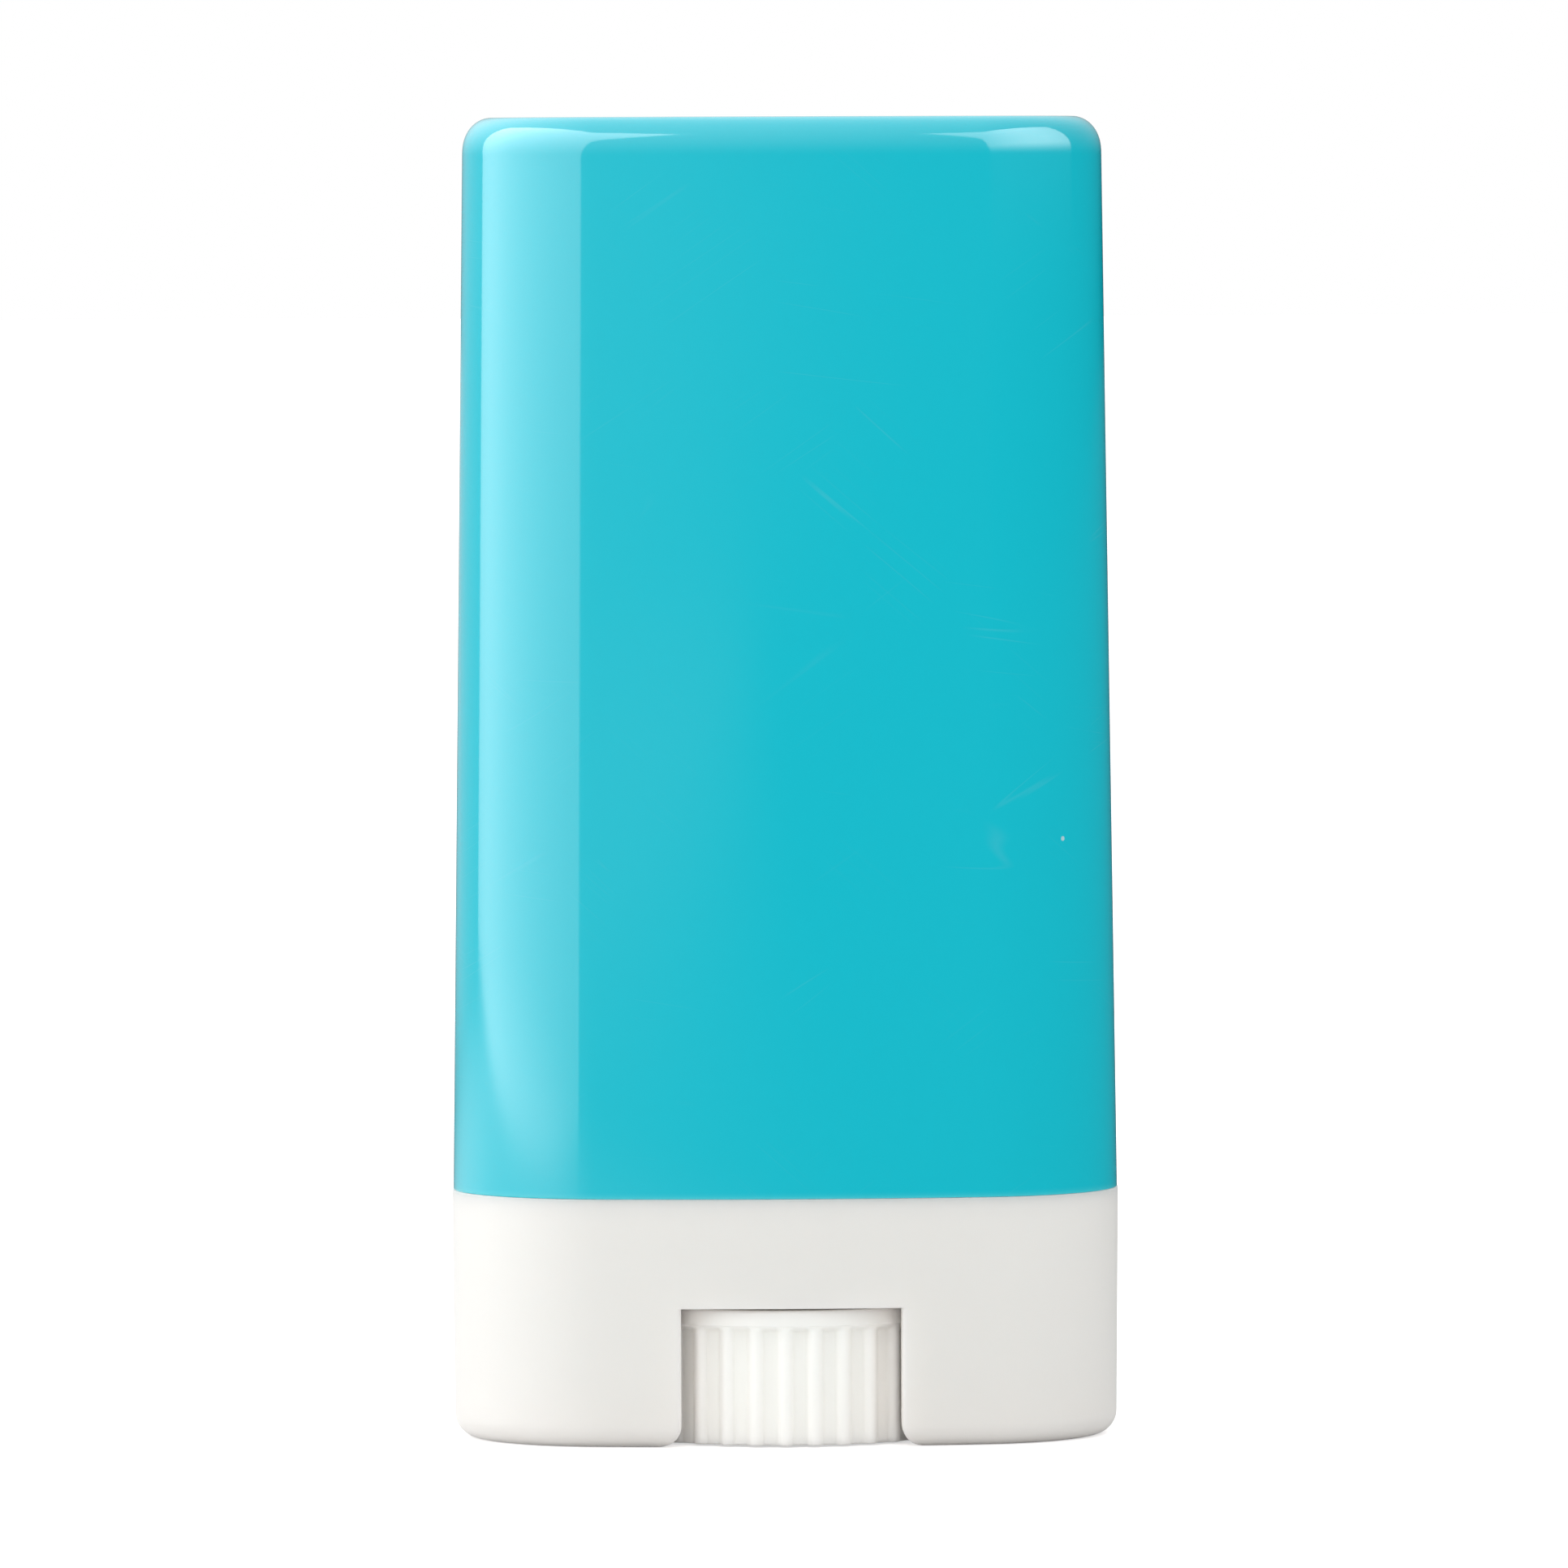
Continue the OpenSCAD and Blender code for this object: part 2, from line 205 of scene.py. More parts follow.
# Everything from the deck up: the profile climbs the base, steps in at the shoulder, climbs the
# neck over its bead, turns over the mouth and drops down the bore to the deck.
neck_top_inset = NECK_INSET + (mouth_z - BASE_H) * cap_slope
bore_inset = NECK_INSET + NECK_WALL
deck_top = WINDOW_H + DECK_T
profile = np.concatenate([
    [[side_low[0], WINDOW_H], [0, BASE_H - 3 * JOINT_EDGE]],
    rounded_corner(JOINT_EDGE, BASE_H - JOINT_EDGE, JOINT_EDGE, 0, 90, 4),
    [[NECK_INSET, BASE_H], [NECK_INSET, BASE_H + EDGE_BEVEL]],
    swelling(NECK_INSET + BEAD_UP * cap_slope, BASE_H + BEAD_UP, BEAD_OUT, BEAD_HALF),
    [[neck_top_inset - cap_slope * MM, mouth_z - MM]],
    rounded_corner(neck_top_inset + EDGE_BEVEL, mouth_z - EDGE_BEVEL, EDGE_BEVEL, 0, 90, 5),
    rounded_corner(bore_inset - EDGE_BEVEL, mouth_z - EDGE_BEVEL, EDGE_BEVEL, 90, 180, 5),
    [[bore_inset, mouth_z - MM], [bore_inset, deck_top]],
])
window_share = np.linspace(0, 1, 12, endpoint=False)
window_turns = face_turn(WINDOW_HALF_W, side_low[0]) * window_share
soft_turns = face_turn(WINDOW_HALF_W + EDGE_SOFT * (1 - np.sin(soft)), side_low[0])
rest_turns = turns_between(face_turn(WINDOW_HALF_W + EDGE_SOFT, side_low[0]))
ring_turns = np.concatenate([window_turns, soft_turns, rest_turns])
upper = wall_point(ring_turns[None, :], profile[:, :1], profile[:, 1:])

# The deck's underside and its bore close the shell. Their columns fan out from the bore's axis.
lintel_turns = face_turn(WINDOW_HALF_W, pocket_inset) * window_share
ceiling = np.concatenate([wall_point(lintel_turns, pocket_inset, WINDOW_H), inside[0]])
bore_ring = DECK_BORE_R * outward(ceiling)
deck = np.stack([upper[-1], bore_ring + (0, 0, deck_top), bore_ring + (0, 0, WINDOW_H), ceiling])
window_columns = len(window_turns) + 1
lintel = np.stack([ceiling[:window_columns], upper[0, :window_columns]])
ledge = np.stack([upper[0, window_columns - 1:window_columns + len(soft)], outside[0, :len(soft) + 1]])

QUARTERS = ((1, 1), (-1, 1), (1, -1), (-1, -1))
barrel = make_piece("barrel_shell", [wall_loop, reveal, upper, deck, lintel, ledge], QUARTERS)
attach(barrel, "barrel")
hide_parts("barrel")


def maths(tree, operation, first, second=None, third=None):
    """A Math node in a node tree, given numbers or sockets, and the socket that it puts out."""
    node = tree.nodes.new("ShaderNodeMath")
    node.operation = operation
    for socket, value in zip(node.inputs, (first, second, third)):
        if isinstance(value, bpy.types.NodeSocket):
            tree.links.new(value, socket)
        elif value is not None:
            socket.default_value = value
    return node.outputs[0]


def pattern(tree, kind, cell, detail=0.0, lean=0):
    """The outputs of a noise or Voronoi texture on Object coordinates. cell is the size of its
    cells along x, y and z, after the texture is turned by lean degrees about the y axis."""
    place = tree.nodes.new("ShaderNodeTexCoord")
    laid = tree.nodes.new("ShaderNodeMapping")
    laid.vector_type = "TEXTURE"
    laid.inputs["Rotation"].default_value = (0, math.radians(lean), 0)
    laid.inputs["Scale"].default_value = cell
    tree.links.new(place.outputs["Object"], laid.inputs["Vector"])
    node = tree.nodes.new("ShaderNodeTex" + kind)
    node.inputs["Scale"].default_value = 1.0
    node.inputs["Detail"].default_value = detail
    tree.links.new(laid.outputs["Vector"], node.inputs["Vector"])
    return node.outputs


def between(tree, value, low, high):
    """How far a value is from low to high, as a smooth step from 0 to 1."""
    node = tree.nodes.new("ShaderNodeMapRange")
    node.interpolation_type = "SMOOTHSTEP"
    node.inputs["From Min"].default_value = low
    node.inputs["From Max"].default_value = high
    tree.links.new(value, node.inputs["Value"])
    return node.outputs["Result"]


def bumped(tree, height, strength, depth, normal=None):
    """A Bump node that raises the surface by a height pattern of a depth, over another normal."""
    node = tree.nodes.new("ShaderNodeBump")
    node.inputs["Distance"].default_value = depth
    tree.links.new(height, node.inputs["Height"])
    tree.links.new(strength, node.inputs["Strength"])
    if normal is not None:
        tree.links.new(normal, node.inputs["Normal"])
    return node.outputs["Normal"]


def shader_group(name, inputs, outputs):
    """An empty node group with named inputs and outputs, each a name and a socket's type."""
    group = bpy.data.node_groups.new(name, "ShaderNodeTree")
    for way, sockets in (("INPUT", inputs), ("OUTPUT", outputs)):
        for socket, kind in sockets:
            group.interface.new_socket(socket, in_out=way, socket_type="NodeSocket" + kind)
    given = group.nodes.new("NodeGroupInput").outputs
    made = group.nodes.new("NodeGroupOutput").inputs
    return group, given, made


# The skin of a moulding: a faint ripple from the tool's polish, a finer grain, a roughness that
# drifts over the surface, hairline scratches from handling and a few specks of dust.
moulded_skin, given, made = shader_group(
    "moulded_skin",
    [("Colour", "Color"), ("Roughness", "Float"), ("Ripple", "Float"), ("Grain", "Float"),
     ("Drift", "Float"), ("Scratches", "Float"), ("Dust", "Float")],
    [("Colour", "Color"), ("Roughness", "Float"), ("Normal", "Vector")])
ripple = pattern(moulded_skin, "Noise", [7 * MM] * 3, 1)["Fac"]
waves = bumped(moulded_skin, ripple, given["Ripple"], 0.1 * MM)
grain = pattern(moulded_skin, "Noise", [0.2 * MM] * 3, 2)["Fac"]
fine = bumped(moulded_skin, grain, given["Grain"], 0.01 * MM, waves)

# A scratch is a line along which a stretched noise crosses its middle value, kept in a few places.
scratch = None
for lean, across in ((42, 0.8 * MM), (-35, 1.1 * MM), (8, 1.6 * MM)):
    contour = pattern(moulded_skin, "Noise", (45 * MM, 45 * MM, across), 0, lean)["Fac"]
    off = maths(moulded_skin, "ABSOLUTE", maths(moulded_skin, "SUBTRACT", contour, 0.5))
    line = between(moulded_skin, off, 0.009, 0)
    place = between(moulded_skin, pattern(moulded_skin, "Noise", [6 * MM] * 3, 1, lean)["Fac"], 0.58, 0.7)
    hairline = maths(moulded_skin, "MULTIPLY", line, place)
    scratch = hairline if scratch is None else maths(moulded_skin, "MAXIMUM", scratch, hairline)
scratch = maths(moulded_skin, "MULTIPLY", scratch, given["Scratches"])
cells = pattern(moulded_skin, "Voronoi", [5 * MM] * 3)
spot = between(moulded_skin, cells["Distance"], 0.032, 0.016)
shade = moulded_skin.nodes.new("ShaderNodeSeparateColor")
moulded_skin.links.new(cells["Color"], shade.inputs["Color"])
rare = maths(moulded_skin, "GREATER_THAN", shade.outputs["Red"], 0.75)
speck = maths(moulded_skin, "MULTIPLY", maths(moulded_skin, "MULTIPLY", spot, rare), given["Dust"])
dusty = moulded_skin.nodes.new("ShaderNodeMix")
dusty.data_type = "RGBA"
dusty.inputs["B"].default_value = (0.75, 0.78, 0.78, 1)
pale = maths(moulded_skin, "MULTIPLY_ADD", scratch, 0.06, speck)
moulded_skin.links.new(pale, dusty.inputs["Factor"])
moulded_skin.links.new(given["Colour"], dusty.inputs["A"])
moulded_skin.links.new(dusty.outputs["Result"], made["Colour"])
drift = maths(moulded_skin, "SUBTRACT", pattern(moulded_skin, "Noise", [16 * MM] * 3, 3)["Fac"], 0.5)
rough = maths(moulded_skin, "MULTIPLY_ADD", drift, given["Drift"], given["Roughness"])
rough = maths(moulded_skin, "MULTIPLY_ADD", maths(moulded_skin, "ADD", scratch, speck), 0.3, rough)
moulded_skin.links.new(rough, made["Roughness"])
moulded_skin.links.new(fine, made["Normal"])

# Painted glow: where the cap meets the white base, its colour is painted paler in place of the light
# that soaks through its thin edge. The painted glow is full at the joint's height and falls away from it
# as the square of the distance left to go.
joint_painted_glow, given, made = shader_group(
    "joint_painted_glow",
    [("Colour", "Color"), ("Painted Glow Colour", "Color"), ("Reach", "Float")],
    [("Colour", "Color")])
place = joint_painted_glow.nodes.new("ShaderNodeTexCoord")
height = joint_painted_glow.nodes.new("ShaderNodeSeparateXYZ")
joint_painted_glow.links.new(place.outputs["Object"], height.inputs["Vector"])
away = maths(joint_painted_glow, "ABSOLUTE", maths(joint_painted_glow, "SUBTRACT", height.outputs["Z"], BASE_H))
share = maths(joint_painted_glow, "DIVIDE", away, given["Reach"])
left = maths(joint_painted_glow, "MAXIMUM", maths(joint_painted_glow, "SUBTRACT", 1.0, share), 0.0)
# Painted glow: mixes the cap's colour towards a paler one near the joint, in place of light.
painted_glow_mix = joint_painted_glow.nodes.new("ShaderNodeMix")
painted_glow_mix.data_type = "RGBA"
joint_painted_glow.links.new(maths(joint_painted_glow, "POWER", left, 2.0), painted_glow_mix.inputs["Factor"])
joint_painted_glow.links.new(given["Colour"], painted_glow_mix.inputs["A"])
joint_painted_glow.links.new(given["Painted Glow Colour"], painted_glow_mix.inputs["B"])
joint_painted_glow.links.new(painted_glow_mix.outputs["Result"], made["Colour"])


def moulding(name, colour, soak, skin_values, painted_glow_colour=None, reach=1 * MM):
    """A plastic material. Its colour is linear light, soak is how far light goes into it, and
    skin_values are the inputs of the skin. A painted glow colour paints it paler towards the cap's joint,
    in place of light that soaks through the cap's edge."""
    material = bpy.data.materials.new(name)
    material.use_nodes = True
    tree = material.node_tree
    shader = tree.nodes["Principled BSDF"]
    shader.inputs["IOR"].default_value = 1.49
    shader.inputs["Subsurface Weight"].default_value = 1.0 if soak else 0.0
    shader.inputs["Subsurface Radius"].default_value = (1.0, 1.0, 1.0)
    shader.inputs["Subsurface Scale"].default_value = soak
    skin = tree.nodes.new("ShaderNodeGroup")
    skin.node_tree = moulded_skin
    skin.inputs["Colour"].default_value = (*colour, 1)
    for socket, value in skin_values.items():
        skin.inputs[socket].default_value = value
    if painted_glow_colour is not None:
        # Painted glow: the colour is made paler towards the joint, standing in for light that soaks through
        # the cap's edge.
        glow_node = tree.nodes.new("ShaderNodeGroup")
        glow_node.node_tree = joint_painted_glow
        glow_node.inputs["Colour"].default_value = (*colour, 1)
        glow_node.inputs["Painted Glow Colour"].default_value = (*painted_glow_colour, 1)
        glow_node.inputs["Reach"].default_value = reach
        tree.links.new(glow_node.outputs["Colour"], skin.inputs["Colour"])
    tree.links.new(skin.outputs["Colour"], shader.inputs["Base Color"])
    tree.links.new(skin.outputs["Roughness"], shader.inputs["Roughness"])
    tree.links.new(skin.outputs["Normal"], shader.inputs["Normal"])
    return material


satin = {"Roughness": 0.42, "Ripple": 0.03, "Grain": 0.1, "Drift": 0.06, "Scratches": 0.25, "Dust": 0.0}
barrel.data.materials.append(moulding("white_satin", (0.965, 0.896, 0.859), 0.9 * MM, satin))

# Dial and screw: one white moulding. The ribbed thumb dial shows in the windows, turns on a
# journal in the deck and is held by a snap flange. Its screw runs up through the carrier's nut.
RIBS = 34
RIB_PHASE = 0.3
RIB_H = 0.26 * MM
RIB_W = 0.86 * MM
RIB_SET = 0.05 * MM
RIB_EASE = 0.02 * MM
RIB_RUN_OUT = 0.3 * MM
RUN_OUT_FIRST = 0.04 * MM
COLLAR_LEDGE = 0.04 * MM
CUP_EDGE = 0.12 * MM
COLLAR_H = 0.85 * MM
DIAL_WALL = 1.2 * MM
WEB_T = 1.2 * MM
HUB_R = 3.9 * MM
CORE_R = 1.3 * MM
THRUST_R = 4.2 * MM
JOURNAL_R = 3 * MM
FLANGE_R = 3.5 * MM
FLANGE_H = 0.85 * MM
THREAD_R = 2.9 * MM
THREAD_DEPTH = 0.75 * MM
THREAD_PITCH = 3 * MM
dial_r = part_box("dial_screw")[1][0]
dial_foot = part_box("dial_screw")[0][2]
tip_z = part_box("dial_screw")[1][2]
DIAL_CLEAR = 0.14 * MM
END_PLAY = 0.1 * MM
dial_top = WINDOW_H - DIAL_CLEAR
flange_z = deck_top + END_PLAY
crest_r = dial_r - RIB_SET
valley_r = crest_r - RIB_H
ribs_top = dial_top - COLLAR_H - RIB_RUN_OUT
rib_arc = ((RIB_W / 2) ** 2 + RIB_H**2) / (2 * RIB_H)


def turned(r, turns, z):
    """A grid of points at radii r, turned round the axis, at heights z."""
    return np.stack(np.broadcast_arrays(r * np.cos(turns), r * np.sin(turns), z), -1)


def revolve(profile, turns):
    """A grid of points from radii and heights carried round the axis."""
    r, z = np.asarray(profile).T
    return turned(r[:, None], turns, z[:, None])


def grip_radius(turns, z):
    """Radius of the dial's ribbed side. Across a rib it is an arc that bulges out of the valley,
    and towards the collar both run out into one smooth band."""
    from_rib = (turns * RIBS / (2 * math.pi) - RIB_PHASE + 0.5) % 1 - 0.5
    aside = from_rib * 2 * math.pi / RIBS * crest_r
    rib = crest_r - rib_arc + np.sqrt(np.clip(rib_arc**2 - aside**2, 0, None))
    ribbed = (rib + valley_r + np.sqrt((rib - valley_r) ** 2 + RIB_EASE**2)) / 2
    rise = np.clip((z - ribs_top) / RIB_RUN_OUT, 0, 1)
    rise = rise**2 * (3 - 2 * rise)
    return ribbed * (1 - rise) + crest_r * rise


round_turns = np.linspace(0, 2 * math.pi, RIBS * 16 + 1)
cup_r = valley_r - DIAL_WALL
cup_top = dial_top - WEB_T
cup = revolve([
    (0, cup_top), (CORE_R, cup_top), (CORE_R, dial_foot + CUP_EDGE), (CORE_R + CUP_EDGE, dial_foot),
    (HUB_R - CUP_EDGE, dial_foot), (HUB_R, dial_foot + CUP_EDGE), (HUB_R, cup_top), (cup_r, cup_top),
    (cup_r, dial_foot + CUP_EDGE), (cup_r + CUP_EDGE, dial_foot),
    (valley_r - 2 * CUP_EDGE, dial_foot),
], round_turns)
toe = np.radians(np.linspace(-90, 0, 6))
grip_z = np.concatenate([
    dial_foot + CUP_EDGE * (1 + np.sin(toe)),
    np.linspace(dial_foot + 2 * CUP_EDGE, ribs_top, 5),
    ribs_top + np.linspace(RUN_OUT_FIRST, RIB_RUN_OUT, 8),
])
toe_in = np.concatenate([CUP_EDGE * (1 - np.cos(toe)), np.zeros(len(grip_z) - len(toe))])
grip_r = grip_radius(round_turns[None, :], grip_z[:, None]) - toe_in[:, None]
grip = turned(grip_r, round_turns, grip_z[:, None])
collar_edge = [(dial_r - EDGE_BEVEL * (1 - math.cos(a)), dial_top - EDGE_BEVEL * (1 - math.sin(a)))
               for a in np.radians([0, 22.5, 45, 67.5, 90])]
crown_of_dial = revolve([
    (dial_r, dial_top - COLLAR_H + COLLAR_LEDGE), *collar_edge, (THRUST_R, dial_top),
    (THRUST_R, WINDOW_H - END_PLAY), (JOURNAL_R, WINDOW_H - END_PLAY), (JOURNAL_R, flange_z),
    (FLANGE_R, flange_z), (THREAD_R - THREAD_DEPTH / 2, flange_z + FLANGE_H), (0, flange_z + FLANGE_H),
], round_turns)
dial_shell = np.concatenate([cup, grip, crown_of_dial])

# The thread's radius rises to its crest once round the section, and the crest goes round to the
# left as it climbs: a is the turn from the crest, where the radius has fallen by the depth times
# 1 - ((1 + cos a) / 2) ** 1.5.
SCREW_STEP = 0.15 * MM
SCREW_TIP = 0.8
screw_turns = np.linspace(0, 2 * math.pi, 49)
screw_z = np.arange(flange_z, tip_z, SCREW_STEP)
a = screw_turns + 2 * math.pi * (screw_z[:, None] - flange_z) / THREAD_PITCH
screw_r = THREAD_R - THREAD_DEPTH * (1 - ((1 + np.cos(a)) / 2) ** 1.5)
screw_r = np.concatenate([0 * screw_r[:1], screw_r, screw_r[-1:] * SCREW_TIP, 0 * screw_r[:1]])
screw_z = np.concatenate([screw_z[:1], screw_z, [tip_z, tip_z]])
screw = turned(screw_r, screw_turns, screw_z[:, None])

# The cup's spokes stiffen it: each is a section across it, carried from the hub to the rim. It
# sinks a little into the web, the hub and the rim, and closes to a point at each end.
SPOKES = 6
SPOKE_T = 0.9 * MM
SPOKE_UP = 1.2 * MM
SPOKE_EDGE = 0.12 * MM
WEB_SINK = 0.1 * MM
END_SINK = 0.2 * MM
half_t = SPOKE_T / 2
spoke_foot = dial_foot + SPOKE_UP
spoke_top = cup_top + WEB_SINK
section = np.array([
    (-half_t, spoke_top), (-half_t, spoke_foot + SPOKE_EDGE), (-half_t + SPOKE_EDGE, spoke_foot),
    (half_t - SPOKE_EDGE, spoke_foot), (half_t, spoke_foot + SPOKE_EDGE), (half_t, spoke_top),
    (-half_t, spoke_top)])
hub_end = HUB_R - END_SINK
rim_end = cup_r + END_SINK
run = np.array([hub_end, hub_end, rim_end, rim_end])[:, None]
width = np.array([0, 1, 1, 0])[:, None]
x = run + 0 * section[:, 0]
y = width * section[:, 0]
z = np.where(width > 0, section[:, 1], section[:, 1].mean())
spokes = []
for turn in np.radians(np.arange(SPOKES) * 360 / SPOKES):
    spoke_x = x * math.cos(turn) - y * math.sin(turn)
    spoke_y = x * math.sin(turn) + y * math.cos(turn)
    spokes.append(np.stack([spoke_x, spoke_y, z], -1))

dial = make_piece("dial_and_screw", [dial_shell, screw, *spokes], crease=40)
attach(dial, "dial")
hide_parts("dial_screw")
dial_skin = {"Roughness": 0.36, "Ripple": 0.02, "Grain": 0.08, "Drift": 0.05, "Scratches": 0.2, "Dust": 0.0}
dial.data.materials.append(moulding("white_dial", (0.98, 0.917, 0.873), 0.9 * MM, dial_skin))

# Carrier: a plain white moulding with the nut, a wiping skirt and two fins that hold the bar. It
# fits the bore of the neck, whose oval keeps it from turning.
carrier = bpy.data.objects.new("bar_carrier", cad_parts["carrier"].data.copy())
bpy.context.collection.objects.link(carrier)
carrier.data.materials.clear()
if carrier.data.has_custom_normals:
    carrier.data.attributes.remove(carrier.data.attributes["custom_normal"])
finish_mesh(carrier, 30)
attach(carrier, "elevator")
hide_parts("carrier")
matt = {"Roughness": 0.5, "Ripple": 0.02, "Grain": 0.12, "Drift": 0.05, "Scratches": 0.1, "Dust": 0.0}
carrier.data.materials.append(moulding("plain_carrier", (0.86, 0.86, 0.84), 0.0, matt))

# Sunscreen bar: off-white wax poured round the carrier's fins and the screw. Its crown took the
# shape of the moulded disc that closed the neck when it was filled.
BAR_PLAY = 0.25 * MM
CROWN_FALL_X = 4.4 * MM
CROWN_FALL_Y = 4 * MM
TRAY_WALL = 0.95 * MM
NUT_R = 4.5 * MM
NUT_TOP = 16.4 * MM
CORE_PLAY = 0.25 * MM
TRAY_PLAY = 0.05 * MM
TRAY_H = 3.4 * MM
CROWN_EDGE = 0.9 * MM
CROWN_SAG = 0.4 * MM
bar_inset = bore_inset + BAR_PLAY
crown_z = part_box("sunscreen_bar")[1][2]
tray_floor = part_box("sunscreen_bar")[0][2]
tray_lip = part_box("carrier")[0][2] + TRAY_H
reach_x = BODY_HALF_W - bar_inset
reach_y = BODY_HALF_D - bar_inset
arc_x = (reach_x**2 + CROWN_FALL_X**2) / (2 * CROWN_FALL_X)
arc_y = (reach_y**2 + CROWN_FALL_Y**2) / (2 * CROWN_FALL_Y)


def crown_height(x, y):
    """Height of the crown: an arc across the bar, carried along a wider arc from end to end."""
    out = arc_x - arc_y + np.sqrt(arc_y**2 - y**2)
    return crown_z - arc_x + np.sqrt(out**2 - x**2)


bar_turns = turns_between(0.0, 20, 36)
rim = wall_point(bar_turns, bar_inset, 0 * bar_turns)
share = (np.linspace(0, 1, 22) ** 1.6)[::-1, None, None]
top = rim * (1 - share) + spine_of(rim) * share
from_rim = np.linalg.norm(top - rim, axis=-1)
sag = np.clip(1 - from_rim / CROWN_EDGE, 0, 1) ** 2 * CROWN_SAG
top[..., 2] = crown_height(top[..., 0], top[..., 1]) - sag
climb = np.linspace(1, 0, 24)[1:, None]
side_z = tray_lip + (top[-1, :, 2] - tray_lip) * climb
side = np.stack(np.broadcast_arrays(rim[:, 0], rim[:, 1], side_z), -1)
tray_rim = wall_point(bar_turns, bore_inset + TRAY_WALL + TRAY_PLAY, tray_lip + 0 * bar_turns)
ring = outward(tray_rim)
core_r = THREAD_R + CORE_PLAY
core_top = tip_z + CORE_PLAY
hollow_profile = (
    (NUT_R, tray_floor), (NUT_R, NUT_TOP), (core_r, NUT_TOP), (core_r, core_top), (0, core_top))
hollow = [ring * (r, r, 0) + (0, 0, z) for r, z in hollow_profile]
bar_shell = np.concatenate([top, side, [tray_rim, tray_rim + (0, 0, tray_floor - tray_lip)], hollow])
bar = make_piece("wax_bar", [bar_shell], QUARTERS, 40)
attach(bar, "elevator")
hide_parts("sunscreen_bar")
waxy = {"Roughness": 0.34, "Ripple": 0.12, "Grain": 0.25, "Drift": 0.16, "Scratches": 0.15, "Dust": 0.0}
bar.data.materials.append(moulding("bar_wax", (0.91, 0.87, 0.76), 2.0 * MM, waxy))

# Cap: one glossy cyan moulding, drawn in towards its flat roof and rounded at its top edge. It
# pulls straight off the neck and its rim meets the base in a fine joint line.
CAP_WALL = 1.1 * MM
CAP_ROOF = 1.3 * MM
CAP_ROUND = 1.65 * MM
EASED_LENGTH = 2.8 * MM
RIM_INSET = 0.05 * MM
RIM_EDGE = 0.06 * MM
RIM_GAP = 0.01 * MM
GROOVE_PLAY = 0.1 * MM
ROUND_LEAD = 0.1 * MM
rim_z = BASE_H + RIM_GAP
tilt = math.degrees(math.atan(cap_slope))


def eased_round(inset, z, length, steps=28):
    """Profile points round the cap's top edge. The side's bend grows from the draft to a right
    angle as the 1.4th power of the way along, so that no line shows where it starts."""
    way = np.linspace(0, 1, 8 * steps + 1)
    bend = math.radians(tilt) + (math.pi / 2 - math.radians(tilt)) * way**1.4
    middle = (bend[1:] + bend[:-1]) / 2
    step = length / (8 * steps)
    inward = np.concatenate([[0], np.cumsum(np.sin(middle) * step)])
    upward = np.concatenate([[0], np.cumsum(np.cos(middle) * step)])
    return np.stack([inset + inward, z + upward], -1)[::8]


round_rise = eased_round(0, 0, EASED_LENGTH)[-1, 1]
round_z = top_z - round_rise


def cap_side(z):
    """Inset of the cap's outside at a height: its rim's inset plus the draft."""
    return RIM_INSET + (z - BASE_H) * cap_slope


def wall_run(first_z, last_z, extra, steps):
    """Profile points up or down a drafted wall, closer together at both of its ends."""
    share = (1 - np.cos(np.linspace(0, math.pi, steps))) / 2
    z = first_z + (last_z - first_z) * share
    return np.stack([cap_side(z) + extra, z], -1)


inner_r = CAP_ROUND - CAP_WALL
inner_z = top_z - CAP_ROOF - inner_r
groove_z = BASE_H + BEAD_UP
cap_profile = np.concatenate([
    rounded_corner(cap_side(inner_z) + CAP_WALL + inner_r, inner_z, inner_r, 90, tilt, 6),
    wall_run(inner_z - inner_r, groove_z + 2 * BEAD_HALF, CAP_WALL, 12),
    swelling(cap_side(groove_z) + CAP_WALL, groove_z, BEAD_OUT, BEAD_HALF + GROOVE_PLAY)[::-1],
    rounded_corner(cap_side(rim_z) + CAP_WALL - RIM_EDGE, rim_z + RIM_EDGE, RIM_EDGE, -180, -90, 5),
    rounded_corner(cap_side(rim_z) + RIM_EDGE, rim_z + RIM_EDGE, RIM_EDGE, -90, 0, 5),
    wall_run(rim_z + 2 * RIM_EDGE, round_z - ROUND_LEAD, 0, 48),
    eased_round(cap_side(round_z), round_z, EASED_LENGTH),
])
cap_turns = turns_between(0.0, 24, 48)
shell = wall_point(cap_turns[None, :], cap_profile[:, :1], cap_profile[:, 1:])


def roof_rows(ring, steps=6):
    """A flat roof ruled from its rim to the spine that joins the centres of the two ends."""
    share = np.linspace(0, 1, steps)[:, None, None]
    return ring * (1 - share) + spine_of(ring) * share


cap = make_piece("pull_off_cap", [shell, roof_rows(shell[0]), roof_rows(shell[-1])], QUARTERS, 50)
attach(cap, "cap")
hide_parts("cap")
gloss = {"Roughness": 0.07, "Ripple": 0.05, "Grain": 0.03, "Drift": 0.03, "Scratches": 0.3, "Dust": 0.6}
# Painted glow: the cap is painted a paler cyan within 0.4 mm of the joint's height, in place of light that
# soaks through its edge.
cyan_gloss = moulding("cyan_gloss", (0.008, 0.56, 0.68), 0.0, gloss, (0.07, 0.62, 0.71), 0.4 * MM)
cap.data.materials.append(cyan_gloss)

# Studio: a white table top, a softbox on the table to the left, another one higher to the right,
# and a pale ceiling. The left softbox's mirror image is the long highlight down the cap.
floor_mesh = bpy.data.meshes.new("floor")
FLOOR_HALF = 6.0
corners = [(sx * FLOOR_HALF, sy * FLOOR_HALF, 0) for sx, sy in ((-1, -1), (1, -1), (1, 1), (-1, 1))]
floor_mesh.from_pydata(corners, [], [(0, 1, 2, 3)])
floor = bpy.data.objects.new("floor", floor_mesh)
bpy.context.collection.objects.link(floor)


